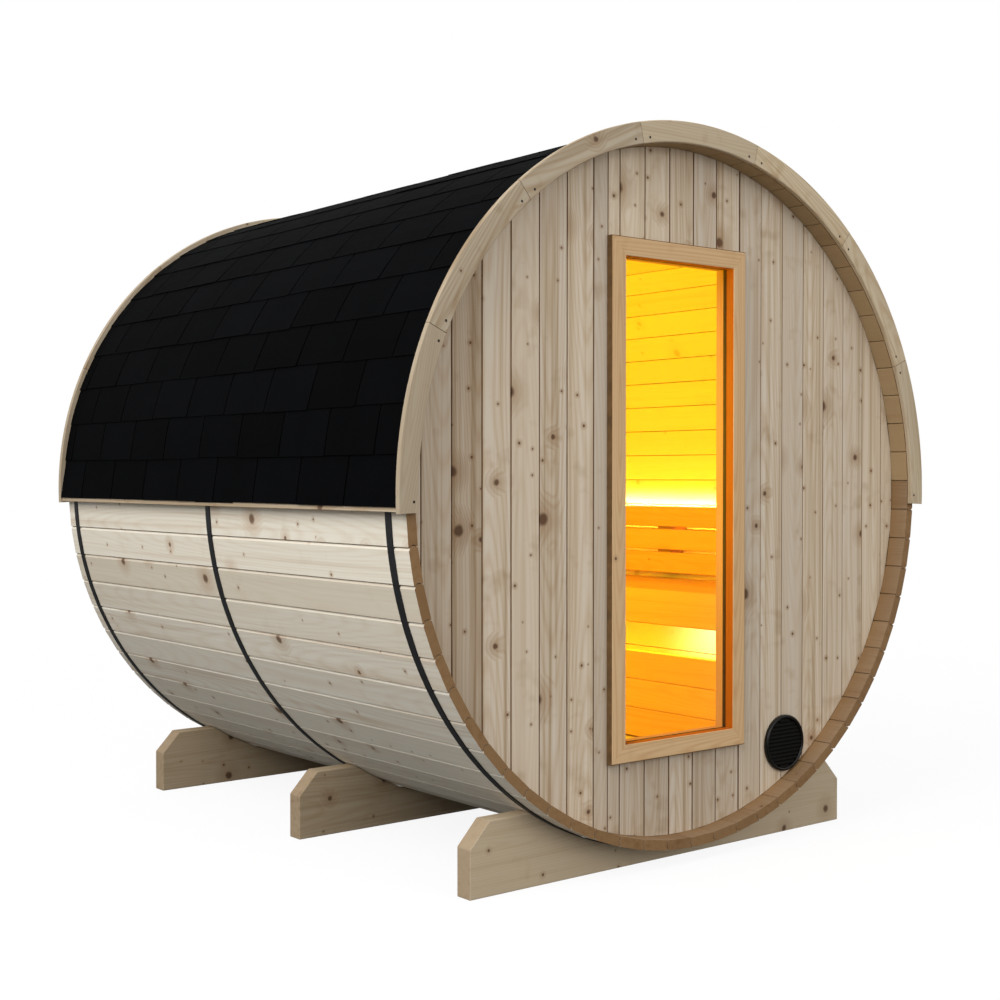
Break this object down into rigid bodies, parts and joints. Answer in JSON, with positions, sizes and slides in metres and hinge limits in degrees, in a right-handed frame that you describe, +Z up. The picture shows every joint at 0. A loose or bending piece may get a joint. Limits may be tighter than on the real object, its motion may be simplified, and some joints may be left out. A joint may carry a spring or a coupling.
{
  "type": "barrel sauna",
  "caption": "Round wooden barrel sauna of staves held by black hoops on plank cradles, with a shingled half roof, a tall framed window and a round vent in the boarded end wall.",
  "frame": {"origin": "on the ground under the barrel's axis, half way along its length", "axes": "X to the right seen from the window end, Y along the barrel away from the window end, Z up"},
  "size_m": [2.0616, 2.03, 2.0746],
  "materials": {
    "stave_wood": "planed spruce",
    "deck_wood": "planed spruce",
    "shingle": "black bitumen shingle",
    "trim_wood": "planed spruce",
    "hoop_steel": "black paint",
    "cradle_wood": "planed spruce",
    "wall_wood": "planed spruce",
    "frame_wood": "planed spruce",
    "glass": "clear",
    "seal": "black",
    "vent": "black",
    "bench_wood": "planed alder tone",
    "light": "warm light strip"
  },
  "bodies": {
    "root": {"staves_01": "stave_wood", "staves_02": "stave_wood", "staves_03": "stave_wood", "staves_04": "stave_wood", "staves_05": "stave_wood", "staves_06": "stave_wood", "staves_07": "stave_wood", "staves_08": "stave_wood", "staves_09": "stave_wood", "staves_10": "stave_wood", "staves_11": "stave_wood", "roof_deck_right": "deck_wood", "roof_deck_top": "deck_wood", "roof_deck_left": "deck_wood", "eaves_left": "deck_wood", "eaves_right": "deck_wood", "shingles_right": "shingle", "shingles_top": "shingle", "shingles_left": "shingle", "fascia_front": "trim_wood", "fascia_rear": "trim_wood", "hoop_front": "hoop_steel", "hoop_middle": "hoop_steel", "hoop_rear": "hoop_steel", "cradle_front": "cradle_wood", "cradle_middle": "cradle_wood", "cradle_rear": "cradle_wood", "front_wall_left": "wall_wood", "front_wall_right": "wall_wood", "front_wall_top": "wall_wood", "front_wall_bottom": "wall_wood", "rear_wall": "wall_wood", "window_stiles": "frame_wood", "window_rails": "frame_wood", "window_glass": "glass", "glazing_seal": "seal", "vent_grille": "vent", "bench_seat": "bench_wood", "bench_apron": "bench_wood", "bench_skirt": "bench_wood", "bench_bearers": "bench_wood", "backrest": "bench_wood", "backrest_brackets": "bench_wood", "light_strip_back": "light", "light_strip_seat": "light"}
  },
  "joints": []
}
